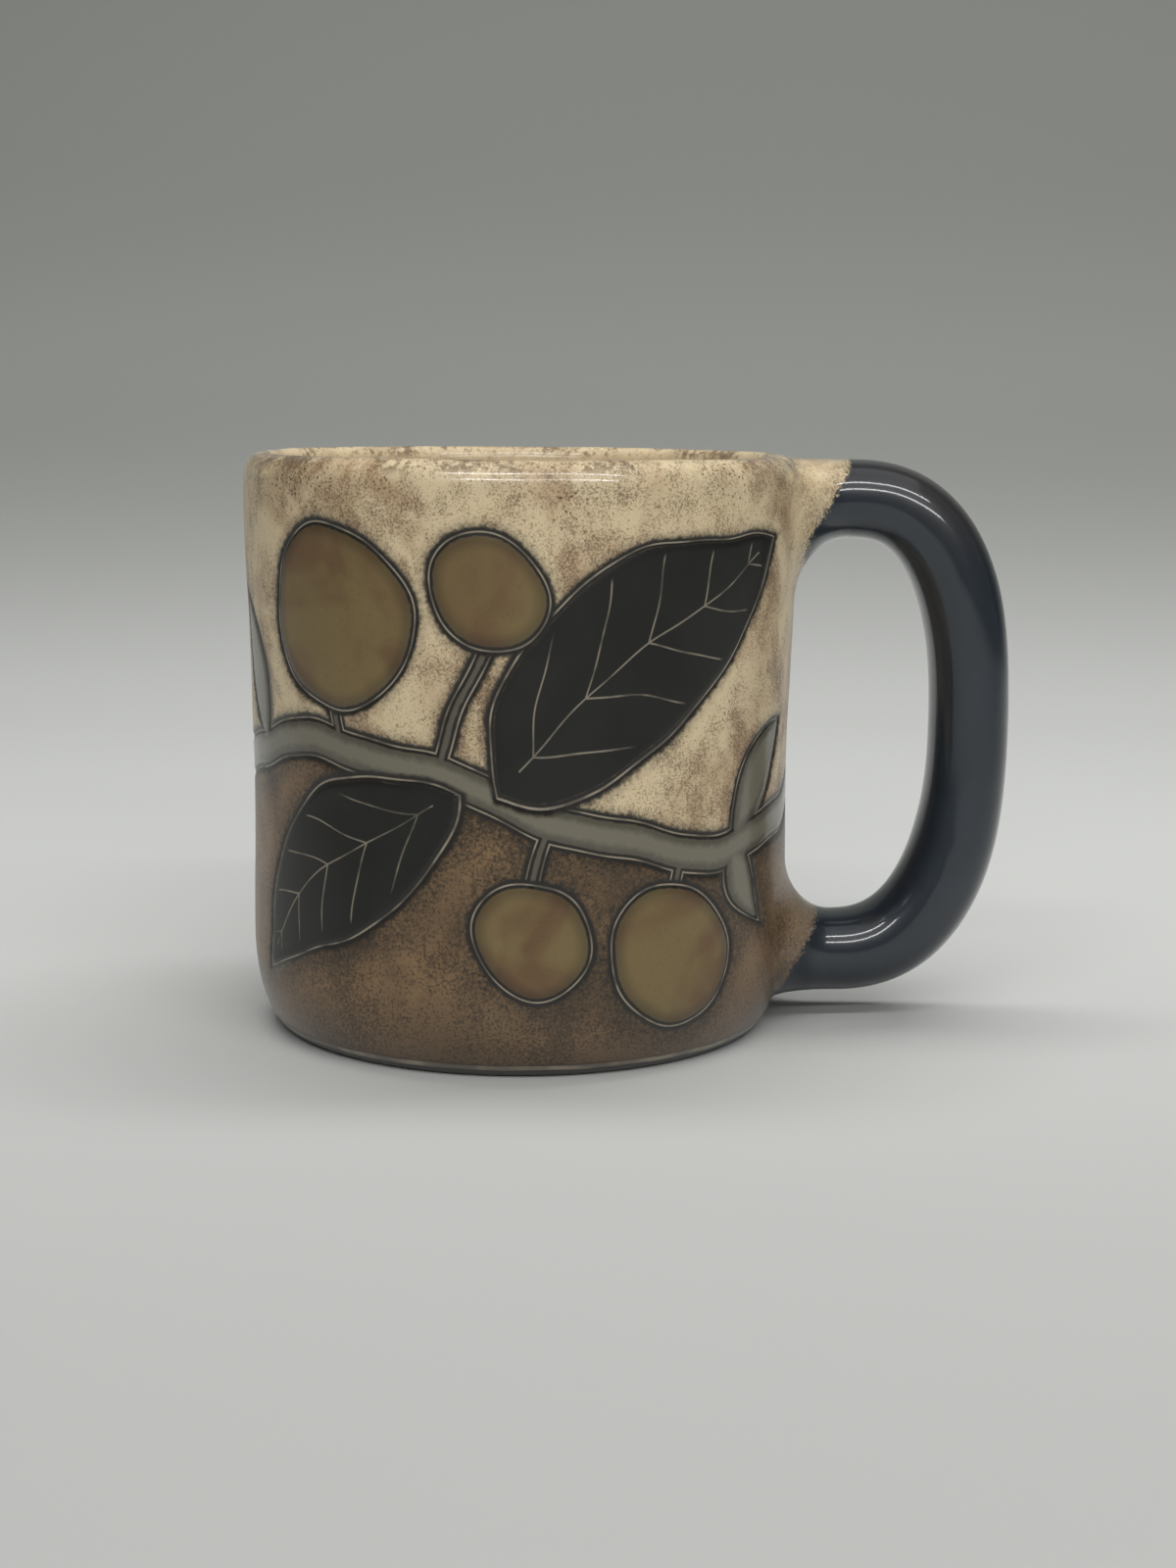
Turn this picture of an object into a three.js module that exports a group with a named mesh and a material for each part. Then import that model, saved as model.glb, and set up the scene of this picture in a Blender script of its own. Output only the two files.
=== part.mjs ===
// A hand-built stoneware mug. Its wall stands on a stepped floor, a clay coil seals the inner corner,
// and a pulled loop handle is luted on through two flared collars.
// Millimetres. +Z is up, the handle points along +X, and the origin is the middle of the foot.
import * as THREE from 'three';

const { clamp, lerp, smoothstep } = THREE.MathUtils;

// Cup
const HEIGHT = 102;
const TOP_RADIUS = 49.1;
const WAIST_RADIUS = 47.8;
const BELLY_RADIUS = 48.1;
const FOOT_RADIUS = 42;
const WAIST_HEIGHT = 45;
const FOOT_CURVE_HEIGHT = 17;
const RIM_WALL = 5;
const FOOT_WALL = 6;
const RIM_OUTER_DEPTH = 3.2;
const RIM_OUTER_HEIGHT = 4.4;
const RIM_INNER_HEIGHT = 2.6;

// Floor and seam coil
const LEDGE_HEIGHT = 3;
const FLOOR_THICKNESS = 7.5;
const COIL_SIZE = 9;
const COIL_EDGE = 0.6;

// Handle
const HANDLE_PROJECTION = 39;
const HANDLE_WIDTH = 17;
const UPPER_THICKNESS = 13.7;
const LOWER_THICKNESS = 14.6;
const BEND_SWELL = 0.75;
const SECTION_POWER = 2.3;
const UPPER_BEND_POWER = 2.55;
const LOWER_BEND_POWER = 2.4;
const UPPER_ROOT_DROP = 0.85;
const LOWER_ROOT_RISE = 1.75;

// Collars
const COLLAR_LENGTH = 9;
const COLLAR_LIP = 0.8;
const COLLAR_SIDE_FLARE = 7;
const COLLAR_INNER_FLARE = 11;
const COLLAR_OUTER_SHARE = 0.5;

// Gap left for the slip between clay pieces
const SLIP_GAP = 0.3;

// Facets
const LATHE_SEGMENTS = 96;
const ARC_STEPS = 6;
const WALL_STEPS = 10;
const SECTION_STEPS = 32;
const HANDLE_STEPS = 52;
const SEAT_STEPS = 4;

const RIM_START = HEIGHT - RIM_OUTER_HEIGHT;
const RIM_CREST_RADIUS = TOP_RADIUS - RIM_OUTER_DEPTH;
const UPPER_ROOT_HEIGHT = HEIGHT - UPPER_ROOT_DROP - UPPER_THICKNESS / 2;
const LOWER_ROOT_HEIGHT = LEDGE_HEIGHT + LOWER_ROOT_RISE + LOWER_THICKNESS / 2;

// Evenly spaced values, both ends included
function spread(from, to, steps) {
  return Array.from({ length: steps + 1 }, (_, i) => lerp(from, to, i / steps));
}

// How far a quarter round has fallen back at a share of its way, 0 to 1
function roundedDrop(share) {
  return 1 - Math.sqrt(1 - clamp(share, 0, 1) ** 2);
}

// Outer radius at height z: rounded foot, slight waist, taper out to the top, rounded rim
function outerRadius(z) {
  const lower = lerp(BELLY_RADIUS, WAIST_RADIUS, smoothstep(z, FOOT_CURVE_HEIGHT, WAIST_HEIGHT));
  const body = lerp(lower, TOP_RADIUS, smoothstep(z, WAIST_HEIGHT, RIM_START));
  const footDrop = (BELLY_RADIUS - FOOT_RADIUS) * roundedDrop(1 - z / FOOT_CURVE_HEIGHT);
  const rimDrop = RIM_OUTER_DEPTH * roundedDrop((z - RIM_START) / RIM_OUTER_HEIGHT);
  return body - footDrop - rimDrop;
}

// Inner radius at height z, a plain taper
function innerRadius(z) {
  return lerp(BELLY_RADIUS - FOOT_WALL, TOP_RADIUS - RIM_WALL, z / HEIGHT);
}

// Turns a profile of (radius, height) points about the cup's axis
function turned(profile) {
  return new THREE.LatheGeometry(profile, LATHE_SEGMENTS).rotateX(Math.PI / 2);
}

// Points of a quarter ellipse about a centre, between two angles
function quarter(centreRadius, centreHeight, depth, height, fromAngle) {
  const curve = new THREE.EllipseCurve(
    centreRadius, centreHeight, depth, height, fromAngle, fromAngle + Math.PI / 2,
  );
  return curve.getPoints(ARC_STEPS);
}

function wallGeometry() {
  const footHeights = spread(LEDGE_HEIGHT, FOOT_CURVE_HEIGHT, ARC_STEPS);
  const bodyHeights = spread(FOOT_CURVE_HEIGHT, RIM_START, WALL_STEPS).slice(1, -1);
  const outside = [...footHeights, ...bodyHeights].map((z) => new THREE.Vector2(outerRadius(z), z));
  const innerStart = HEIGHT - RIM_INNER_HEIGHT;
  const innerDepth = RIM_CREST_RADIUS - innerRadius(innerStart);
  const outerRim = quarter(RIM_CREST_RADIUS, RIM_START, RIM_OUTER_DEPTH, RIM_OUTER_HEIGHT, 0);
  const innerRim = quarter(RIM_CREST_RADIUS, innerStart, innerDepth, RIM_INNER_HEIGHT, Math.PI / 2);
  const insideFoot = new THREE.Vector2(innerRadius(LEDGE_HEIGHT), LEDGE_HEIGHT);
  return turned([...outside, ...outerRim, ...innerRim.slice(1), insideFoot, outside[0]]);
}

// A disc with the foot's rounded edge, a ledge under the wall and a raised middle inside it
function floorGeometry() {
  const edge = spread(0, 1, ARC_STEPS).map((share) => {
    const z = LEDGE_HEIGHT * share ** 2;
    return new THREE.Vector2(outerRadius(z), z);
  });
  const middleRadius = innerRadius(LEDGE_HEIGHT) - SLIP_GAP;
  return turned([
    new THREE.Vector2(0, 0),
    ...edge,
    new THREE.Vector2(middleRadius, LEDGE_HEIGHT),
    new THREE.Vector2(middleRadius, FLOOR_THICKNESS),
    new THREE.Vector2(0, FLOOR_THICKNESS),
  ]);
}

// A coil smoothed to a hollow round in the corner between floor and wall, with blunt edges
function coilGeometry() {
  const place = (inset, rise) => {
    const z = FLOOR_THICKNESS + rise;
    return new THREE.Vector2(innerRadius(z) - SLIP_GAP - inset, z);
  };
  const hollow = spread(0, Math.PI / 2, ARC_STEPS).map((angle) => place(
    lerp(COIL_SIZE, COIL_EDGE, Math.sin(angle)),
    lerp(COIL_SIZE, COIL_EDGE, Math.cos(angle)),
  ));
  const corners = [place(COIL_SIZE, 0), place(0, 0), place(0, COIL_SIZE)];
  return turned([...corners, ...hollow.reverse(), corners[0]]);
}

// The bent part of the handle's centreline: two superellipse quarters that meet at the grip
class Loop extends THREE.Curve {
  constructor(upper, lower, gripX) {
    super();
    Object.assign(this, { upper, lower, gripX, gripZ: (upper.z + lower.z) / 2 });
  }

  getPoint(share, target = new THREE.Vector3()) {
    const isUpper = share < 0.5;
    const limb = isUpper ? this.upper : this.lower;
    const power = 2 / (isUpper ? UPPER_BEND_POWER : LOWER_BEND_POWER);
    const angle = lerp(Math.PI / 2, -Math.PI / 2, share);
    const reach = Math.abs(Math.cos(angle)) ** power;
    const climb = Math.abs(Math.sin(angle)) ** power;
    return target.set(lerp(limb.x, this.gripX, reach), 0, lerp(this.gripZ, limb.z, climb));
  }
}

// Centreline in the XZ plane: a straight limb out of each collar, joined by the loop
function handleCentreline() {
  const at = (x, z) => new THREE.Vector3(x, 0, z);
  const upperRoot = at(outerRadius(UPPER_ROOT_HEIGHT), UPPER_ROOT_HEIGHT);
  const lowerRoot = at(outerRadius(LOWER_ROOT_HEIGHT), LOWER_ROOT_HEIGHT);
  const upperLimb = at(upperRoot.x + COLLAR_LENGTH, upperRoot.z);
  const lowerLimb = at(lowerRoot.x + COLLAR_LENGTH, lowerRoot.z);
  const gripThickness = (UPPER_THICKNESS + LOWER_THICKNESS) / 2;
  const gripX = TOP_RADIUS + HANDLE_PROJECTION - gripThickness / 2;
  const path = new THREE.CurvePath();
  path.add(new THREE.LineCurve3(upperRoot, upperLimb));
  path.add(new Loop(upperLimb, lowerLimb, gripX));
  path.add(new THREE.LineCurve3(lowerLimb, lowerRoot));
  return path;
}

const CENTRELINE = handleCentreline();
const HANDLE_LENGTH = CENTRELINE.getLength();

// A place along the centreline, with one axis out of the loop and one across it
function station(distance) {
  const share = distance / HANDLE_LENGTH;
  const tangent = CENTRELINE.getTangent(share);
  const out = new THREE.Vector3(-tangent.z, 0, tangent.x);
  const side = new THREE.Vector3(0, -1, 0);
  return { point: CENTRELINE.getPoint(share), share, out, side };
}

const fromUpperRoot = (distance) => station(distance);
const fromLowerRoot = (distance) => station(HANDLE_LENGTH - distance);

// Half sizes of the handle's section at a station, less an inset all round
function handleSection({ share }, inset = 0) {
  const swell = BEND_SWELL * Math.sin(2 * Math.PI * share) ** 2;
  const half = (lerp(UPPER_THICKNESS, LOWER_THICKNESS, share) + swell) / 2 - inset;
  return { outward: half, inward: half, across: HANDLE_WIDTH / 2 - inset };
}

const NO_SECTION = { outward: 0, inward: 0, across: 0 };

function blend(a, b, share) {
  return {
    outward: lerp(a.outward, b.outward, share),
    inward: lerp(a.inward, b.inward, share),
    across: lerp(a.across, b.across, share),
  };
}

function widened(section, flare, share) {
  return {
    outward: section.outward + flare.outward * share,
    inward: section.inward + flare.inward * share,
    across: section.across + flare.across * share,
  };
}

// A ring of points round a station, a rounded oval with its own half size on each side
function ring({ point, out, side }, { outward, inward, across }) {
  const swell = (value) => Math.sign(value) * Math.abs(value) ** (2 / SECTION_POWER);
  return spread(0, 2 * Math.PI, SECTION_STEPS).slice(1).map((angle) => {
    const height = swell(Math.cos(angle));
    return point.clone()
      .addScaledVector(out, height * (height > 0 ? outward : inward))
      .addScaledVector(side, swell(Math.sin(angle)) * across);
  });
}

// Moves a ring of one root from its flat plane towards the curve of the wall behind it
function bentToWall(points, share = 1) {
  const isUpper = points[0].z > HEIGHT / 2;
  const rootRadius = outerRadius(isUpper ? UPPER_ROOT_HEIGHT : LOWER_ROOT_HEIGHT);
  for (const point of points) {
    const wallX = Math.sqrt(outerRadius(point.z) ** 2 - point.y ** 2);
    point.x += (wallX - rootRadius) * share;
  }
  return points;
}

// One closed surface through rings of equal length: a loop of rings, or a run closed by its two end points
function skin(rings, ends = []) {
  const count = rings[0].length;
  const looped = ends.length === 0;
  const points = [...rings.flat(), ...ends];
  const faces = [];
  const corner = (row, column) => (row % rings.length) * count + (column % count);
  for (let row = 0; row < rings.length - (looped ? 0 : 1); row += 1) {
    for (let column = 0; column < count; column += 1) {
      const [a, b] = [corner(row, column), corner(row, column + 1)];
      const [c, d] = [corner(row + 1, column + 1), corner(row + 1, column)];
      faces.push(a, b, c, a, c, d);
    }
  }
  for (let column = 0; column < count && !looped; column += 1) {
    const [firstEnd, lastEnd] = [points.length - 2, points.length - 1];
    const last = rings.length - 1;
    faces.push(firstEnd, corner(0, column + 1), corner(0, column));
    faces.push(lastEnd, corner(last, column), corner(last, column + 1));
  }
  const geometry = new THREE.BufferGeometry().setFromPoints(points);
  geometry.setIndex(faces);
  geometry.computeVertexNormals();
  return geometry;
}

// The pulled handle, with a slimmer root at each end that passes through a collar and stops off the wall
function handleGeometry() {
  const shoulder = COLLAR_LENGTH + SLIP_GAP;
  const rootInset = COLLAR_LIP + SLIP_GAP;
  const root = (place) => {
    const start = place(SLIP_GAP);
    const neck = place(shoulder);
    const seat = spread(0, 1, SEAT_STEPS).slice(1).map((share) => {
      const section = blend(NO_SECTION, handleSection(start, rootInset), share);
      return bentToWall(ring(start, section));
    });
    return { end: start.point, rings: [...seat, ring(neck, handleSection(neck, rootInset))] };
  };
  const upper = root(fromUpperRoot);
  const lower = root(fromLowerRoot);
  const body = spread(shoulder, HANDLE_LENGTH - shoulder, HANDLE_STEPS).map((distance) => {
    const place = station(distance);
    return ring(place, handleSection(place));
  });
  return skin([...upper.rings, ...body, ...lower.rings.reverse()], [upper.end, lower.end]);
}

// Rings of a clay collar that fillets the handle's root into the wall: the fillet, then the bore and the seat
function collarRings(place, outerFlare) {
  const flare = { outward: outerFlare, inward: COLLAR_INNER_FLARE, across: COLLAR_SIDE_FLARE };
  const laid = (distance, section) => {
    const share = 1 - distance / COLLAR_LENGTH;
    return bentToWall(ring(place(distance), section), share);
  };
  const bore = (distance) => handleSection(place(distance), COLLAR_LIP);
  const filleted = (angle) => {
    const distance = COLLAR_LENGTH * (1 - Math.cos(angle));
    return { distance, section: widened(handleSection(place(distance)), flare, 1 - Math.sin(angle)) };
  };
  const seatAngle = Math.acos(1 - SLIP_GAP / COLLAR_LENGTH);
  const seatSection = filleted(seatAngle).section;
  const fillet = spread(seatAngle, Math.PI / 2, ARC_STEPS).map((angle) => {
    const { distance, section } = filleted(angle);
    return laid(distance, section);
  });
  const seat = spread(0, 1, SEAT_STEPS).slice(0, -1).map((share) => (
    laid(SLIP_GAP, blend(bore(SLIP_GAP), seatSection, share))
  ));
  return [...fillet, laid(COLLAR_LENGTH, bore(COLLAR_LENGTH)), ...seat];
}

function upperCollarGeometry() {
  return skin(collarRings(fromUpperRoot, UPPER_ROOT_DROP * COLLAR_OUTER_SHARE));
}

// Stations from the lower root run the other way, so the rings are reversed to keep the faces outward
function lowerCollarGeometry() {
  return skin(collarRings(fromLowerRoot, LOWER_ROOT_RISE * COLLAR_OUTER_SHARE).reverse());
}

function piece(name, geometry, color, roughness) {
  const mesh = new THREE.Mesh(geometry, new THREE.MeshStandardMaterial({ color, roughness, metalness: 0 }));
  mesh.name = name;
  return mesh;
}

const CREAM_GLAZE = 0xab9c7b;
const BROWN_GLAZE = 0x564533;
const BLUE_BLACK_GLAZE = 0x303940;
const BARE_CLAY = 0x8d7c66;
const GLAZE_ROUGHNESS = 0.32;
const SATIN_ROUGHNESS = 0.4;
const CLAY_ROUGHNESS = 0.85;

const mug = new THREE.Group();
mug.add(
  piece('cup_wall', wallGeometry(), CREAM_GLAZE, GLAZE_ROUGHNESS),
  piece('cup_floor', floorGeometry(), BARE_CLAY, CLAY_ROUGHNESS),
  piece('floor_seam_coil', coilGeometry(), CREAM_GLAZE, GLAZE_ROUGHNESS),
  piece('handle', handleGeometry(), BLUE_BLACK_GLAZE, SATIN_ROUGHNESS),
  piece('upper_handle_collar', upperCollarGeometry(), CREAM_GLAZE, GLAZE_ROUGHNESS),
  piece('lower_handle_collar', lowerCollarGeometry(), BROWN_GLAZE, GLAZE_ROUGHNESS),
);

export default mug;
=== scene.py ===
"""A hand-built stoneware mug with a painted vine scroll, dressed over its CAD frame. Metres throughout."""

import math
from collections import namedtuple

import bpy
import numpy as np
from mathutils import Euler, Matrix, Vector
from numpy.lib.mixins import NDArrayOperatorsMixin


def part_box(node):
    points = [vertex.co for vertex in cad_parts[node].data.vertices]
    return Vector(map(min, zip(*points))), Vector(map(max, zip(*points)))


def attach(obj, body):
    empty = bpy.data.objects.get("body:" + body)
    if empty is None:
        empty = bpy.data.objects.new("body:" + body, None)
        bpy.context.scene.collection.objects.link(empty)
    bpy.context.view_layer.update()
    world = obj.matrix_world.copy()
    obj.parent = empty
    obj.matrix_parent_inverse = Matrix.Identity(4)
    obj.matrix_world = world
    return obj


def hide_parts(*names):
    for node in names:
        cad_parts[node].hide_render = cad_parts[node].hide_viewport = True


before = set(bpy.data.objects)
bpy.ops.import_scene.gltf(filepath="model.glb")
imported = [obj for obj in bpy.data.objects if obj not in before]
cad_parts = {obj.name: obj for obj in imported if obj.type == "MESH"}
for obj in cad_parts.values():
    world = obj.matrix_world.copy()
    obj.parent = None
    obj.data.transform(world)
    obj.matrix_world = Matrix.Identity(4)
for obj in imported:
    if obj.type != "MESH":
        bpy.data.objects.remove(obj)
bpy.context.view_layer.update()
WALL_LOW, WALL_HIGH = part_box("cup_wall")
FLOOR_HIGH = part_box("cup_floor")[1]
HANDLE_LOW, HANDLE_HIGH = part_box("handle")

bl_info = {
    "name": "Stoneware Mug",
    "version": (1, 0, 0),
    "blender": (4, 5, 0),
    "location": "View3D > Sidebar > Mug",
    "description": "Models a hand-built stoneware mug with a painted vine scroll and its studio stage",
    "category": "Add Mesh",
}

# Mesh fineness
WALL_SEGMENTS = 480
WALL_RINGS = 132
INSIDE_RINGS = 12
FLOOR_SEGMENTS = 192
ROUND_STEPS = 9
OVAL_STEPS = 24
FILLET_STEPS = 28
HANDLE_STEPS = 150

# A quarter of the handle's section bulges this much more than a quarter of an ellipse
SECTION_FULLNESS = 1.158
# Power of the rounded oval that a collar's footprint on the wall follows
FOOTPRINT_POWER = 2.3
SMOOTH_ANGLE = math.radians(38)
# A surface is inside the cup up to this far out from the inner radius
INSIDE_MARGIN = 0.0012

# Gloss: roughness of the satin glaze, clear gloss over the cup and its foot, and depths of the bumps
SATIN = 0.36
CUP_COAT = 0.1
FOOT_COAT = 0.7
WALL_SKIN = 0.00002
HANDLE_SKIN = 0.00004
CLAY_GRIT = 0.00012
# Depth of a scratched line in the wall's bumps
GROOVE_DEPTH = 2.5
# How much the grey painted sheen on top of the handle, standing in for the light from above, leans to the
# outside of the bend
SHEEN_LEAN = 0.6

# Stage: lamps of one length, 1 m from a centre at the given elevations in degrees, and a paper sweep
Lamp = namedtuple("Lamp", "name elevation width share")
LAMPS = (
    Lamp("key", 98, 0.2, 1.7),
    Lamp("panel", 86, 0.9, 0.4),
    Lamp("upper_strip", 49, 0.04, 1.0),
    Lamp("lower_strip", 28, 0.04, 0.85),
)
LAMP_CENTRE = Vector((0.12, 0.0, 0.06))
LAMP_AIM = 0.05
LAMP_LENGTH = 1.2
PAPER_WIDTH = 20.0
PAPER_MIDDLE = -9.3
PAPER_RISE = 3.0
PAPER_BEND = 0.32

# Painted shapes: places are distances round the wall from the middle of the picture
Leaf = namedtuple("Leaf", "place height tilt half_length half_width bend")
Pod = namedtuple("Pod", "place height radius")
Stem = namedtuple("Stem", "place height end_place end_height")
BLACK_LEAVES = (
    Leaf(0.0235, 0.068, math.radians(36), 0.0345, 0.0148, 0.005),
    Leaf(-0.0325, 0.031, math.radians(217), 0.0275, 0.012, -0.004),
)
SAGE_LEAVES = (
    Leaf(0.049, 0.0475, math.radians(48), 0.0128, 0.0048, 0.0015),
    Leaf(0.0448, 0.0305, math.radians(-62), 0.0095, 0.0038, -0.0012),
    Leaf(-0.0605, 0.066, math.radians(116), 0.0135, 0.005, -0.0015),
)
PODS = (
    Pod(-0.033, 0.0762, 0.0152),
    Pod(-0.0055, 0.081, 0.0095),
    Pod(0.027, 0.0202, 0.0122),
    Pod(0.002, 0.0245, 0.0098),
)
STEMS = (
    Stem(-0.033, 0.065, -0.032, 0.055),
    Stem(-0.0055, 0.073, -0.014, 0.051),
    Stem(0.027, 0.030, 0.029, 0.039),
    Stem(0.002, 0.033, 0.004, 0.044),
)


def length(name, description, default):
    return bpy.props.FloatProperty(
        name=name, description=description, default=default, unit="LENGTH", precision=5)


def number(name, description, default):
    return bpy.props.FloatProperty(name=name, description=description, default=default, precision=3)


def colour(name, description, default):
    return bpy.props.FloatVectorProperty(
        name=name, description=description, default=default, subtype="COLOR", size=3, min=0.0, max=1.0)


class CupSizes(bpy.types.PropertyGroup):
    height: length("Height", "Foot to rim", WALL_HIGH.z)
    top_radius: length("Top radius", "Outer radius just below the rim", WALL_HIGH.y)
    waist_radius: length("Waist radius", "Smallest outer radius of the side", 0.0478)
    belly_radius: length("Belly radius", "Outer radius above the rounded foot", 0.0481)
    foot_radius: length("Foot radius", "Radius where the mug stands", 0.042)
    waist_height: length("Waist height", "Height of the smallest radius", 0.045)
    foot_curve: length("Foot curve", "Height of the rounded foot", 0.017)
    rim_wall: length("Rim wall", "Wall thickness near the rim", 0.005)
    foot_wall: length("Foot wall", "Wall thickness near the foot", 0.006)
    rim_depth: length("Rim depth", "How far the rim's outside rounds inwards", 0.0032)
    rim_drop: length("Rim drop", "Height of the rim's outer rounding", 0.0044)
    rim_inner_drop: length("Inner rim drop", "Height of the rim's inner rounding", 0.0026)
    ledge: length("Ledge", "Height of the floor's ledge under the wall", WALL_LOW.z)
    floor: length("Floor", "Thickness of the floor", FLOOR_HIGH.z)
    coil: length("Coil", "Size of the seam coil inside", 0.009)
    coil_edge: length("Coil edge", "Thickness of the coil's smoothed edges", 0.0001)
    seam: length("Seam", "Gap left where the coil is smoothed into the wall", 0.00005)
    slip: length("Slip gap", "Gap filled by slip between clay pieces", 0.0003)
    wobble: length("Wobble", "Unevenness left by the hand", 0.0005)


class HandleSizes(bpy.types.PropertyGroup):
    reach: length("Reach", "Farthest point of the handle from the cup's axis", HANDLE_HIGH.x)
    width: length("Width", "Width of the handle across the loop", HANDLE_HIGH.y - HANDLE_LOW.y)
    upper_thickness: length("Upper thickness", "Thickness at the upper root", 0.0137)
    lower_thickness: length("Lower thickness", "Thickness at the lower root", 0.0146)
    bend_swell: length("Bend swell", "Extra thickness in the bends", 0.00075)
    upper_power: number("Upper bend", "Squareness of the upper bend", 2.55)
    lower_power: number("Lower bend", "Squareness of the lower bend", 2.4)
    upper_drop: length("Upper drop", "Rim to the top of the upper root", 0.00085)
    lower_rise: length("Lower rise", "Ledge to the underside of the lower root", 0.00175)
    collar: length("Collar", "Length of the collars", 0.009)
    lip: length("Collar lip", "Thickness of a collar at its end", 0.0008)
    side_flare: length("Side flare", "Spread of a collar to each side", 0.0105)
    inner_flare: length("Inner flare", "Spread of a collar towards the finger gap", 0.011)
    outer_share: number("Outer share", "Outer spread of a collar as a share of its root's drop or rise", 0.5)
    upper_glaze: length("Upper glaze edge", "Wall to black glaze at the upper root", 0.0051)
    lower_glaze: length("Lower glaze edge", "Wall to black glaze at the lower root", 0.0014)
    glaze_slant: number("Glaze slant", "How far the black glaze's edge leans outwards per height", 0.62)
    wobble: length("Wobble", "Unevenness left by the hand", 0.00025)


class OrnamentSizes(bpy.types.PropertyGroup):
    vine_height: length("Vine height", "Mean height of the vine", 0.046)
    vine_rise: length("Vine rise", "Rise and fall of the vine", 0.009)
    vine_width: length("Vine width", "Width of the vine", 0.0064)
    stem_width: length("Stem width", "Width of the stems", 0.0022)
    outline: length("Outline", "Half width of the dark outlines", 0.0008)
    hairline: length("Hairline", "Half width of the scratched line in an outline", 0.0002)
    relief: length("Relief", "Depth of the outlines below the glaze", 0.00025)
    halo: length("Halo", "Reach of the dark spray round an outline", 0.0075)
    # The painted shadow round the bottom of the foot reaches up to this line
    foot_line: length("Foot line", "Height of the scratched line round the foot", 0.0019)


class GlazeColours(bpy.types.PropertyGroup):
    cream: colour("Cream", "Upper ground", (0.70, 0.57, 0.365))
    blush: colour("Blush", "Clouds on the cream", (0.41, 0.265, 0.148))
    grain: colour("Grain", "Brown grain sprayed on the cream", (0.12, 0.068, 0.032))
    umber: colour("Umber", "Lower ground", (0.255, 0.158, 0.078))
    dusk: colour("Dusk", "Clouds on the umber", (0.062, 0.040, 0.024))
    spray: colour("Spray", "Dark grain sprayed on both grounds", (0.04, 0.026, 0.015))
    sage: colour("Sage", "Vine and small leaves", (0.178, 0.165, 0.123))
    ochre: colour("Ochre", "Pods", (0.19, 0.137, 0.056))
    russet: colour("Russet", "Ripe side of the pods", (0.14, 0.08, 0.035))
    leaf: colour("Leaf black", "Large leaves", (0.0065, 0.007, 0.0055))
    # The outline colour is also painted below the foot line as the shadow under the foot
    outline: colour("Outline", "Outlines", (0.016, 0.0145, 0.012))
    hairline: colour("Hairline", "Lines scratched through to the clay", (0.33, 0.285, 0.215))
    handle: colour("Handle black", "Handle", (0.0098, 0.0158, 0.0238))
    # Painted sheen: grey on top of the handle and its upper bend, standing in for the light from above
    painted_sheen: colour("Charcoal", "Thinner glaze on top of the handle", (0.025, 0.0235, 0.0235))
    clay: colour("Clay", "Bare clay under the foot", (0.25, 0.19, 0.13))


class StageSettings(bpy.types.PropertyGroup):
    camera_place: bpy.props.FloatVectorProperty(
        name="Camera", description="Place of the camera", default=(0.0, -0.435, 0.1138),
        subtype="TRANSLATION", size=3)
    camera_turn: bpy.props.FloatVectorProperty(
        name="Camera turn", description="Pitch down, roll and yaw to the right of the camera",
        default=(math.radians(9.31), math.radians(0.45), math.radians(1.6)), subtype="EULER", size=3)
    lens: number("Lens", "Focal length on a sensor 36 mm along the picture's long side", 55.78)
    # The paper tones below are painted light and shade for how the light falls off over the sweep
    floor: colour("Floor", "Paper in front of the mug", (0.447, 0.452, 0.437))
    far_floor: colour("Far floor", "Paper just behind the mug", (0.66, 0.668, 0.65))
    backdrop: colour("Backdrop", "Paper that rises behind", (0.300, 0.308, 0.291))
    top: colour("Top", "Paper high behind the mug", (0.262, 0.27, 0.25))
    light_power: number("Lights", "Power that each lamp takes its share of", 3.9)
    sky: number("Sky", "Strength of the light from all round", 0.12)


def settings(context):
    scene = context.scene
    return scene.mug_cup, scene.mug_handle, scene.mug_ornament, scene.mug_colours, scene.mug_stage


# Shader maths

class Paint(NDArrayOperatorsMixin):
    """A shader socket for Python expressions: each NumPy operation on it adds its Math node."""

    MATHS = {
        np.add: "ADD", np.subtract: "SUBTRACT", np.multiply: "MULTIPLY", np.divide: "DIVIDE",
        np.minimum: "MINIMUM", np.maximum: "MAXIMUM", np.absolute: "ABSOLUTE", np.sqrt: "SQRT",
        np.sin: "SINE", np.floor: "FLOOR", np.arctan2: "ARCTAN2", np.greater: "GREATER_THAN",
    }

    def __init__(self, tree, socket=None):
        self.tree = tree
        self.socket = socket

    def __array_ufunc__(self, ufunc, method, *inputs):
        return self.node("ShaderNodeMath", {"operation": self.MATHS[ufunc]}, dict(enumerate(inputs)))

    def node(self, kind, settings=None, sockets=None, output=0):
        """Any node: its settings are set first, then the value or link of each socket."""
        made = self.tree.nodes.new(kind)
        for name, value in (settings or {}).items():
            setattr(made, name, value)
        for key, value in (sockets or {}).items():
            self.fill(made.inputs[key], value)
        return Paint(self.tree, made.outputs[output])

    def fill(self, socket, value):
        if isinstance(value, Paint):
            self.tree.links.new(value.socket, socket)
        elif socket.type == "RGBA":
            socket.default_value = (*value, 1.0)
        else:
            socket.default_value = value


def eased(value, start, end):
    """0 before start and 1 after end, with a smooth rise between, for numbers, arrays and sockets."""
    if isinstance(value, Paint):
        return value.node(
            "ShaderNodeMapRange", {"interpolation_type": "SMOOTHSTEP"},
            {"Value": value, "From Min": start, "From Max": end})
    share = np.clip((value - start) / (end - start), 0.0, 1.0)
    return share * share * (3.0 - 2.0 * share)


def mixed(first, second, share):
    return first + (second - first) * share


def tinted(share, first, second):
    """The colour between two, by a Mix node."""
    return share.node("ShaderNodeMix", {"data_type": "RGBA"}, {0: share, 6: first, 7: second}, 2)


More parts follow.
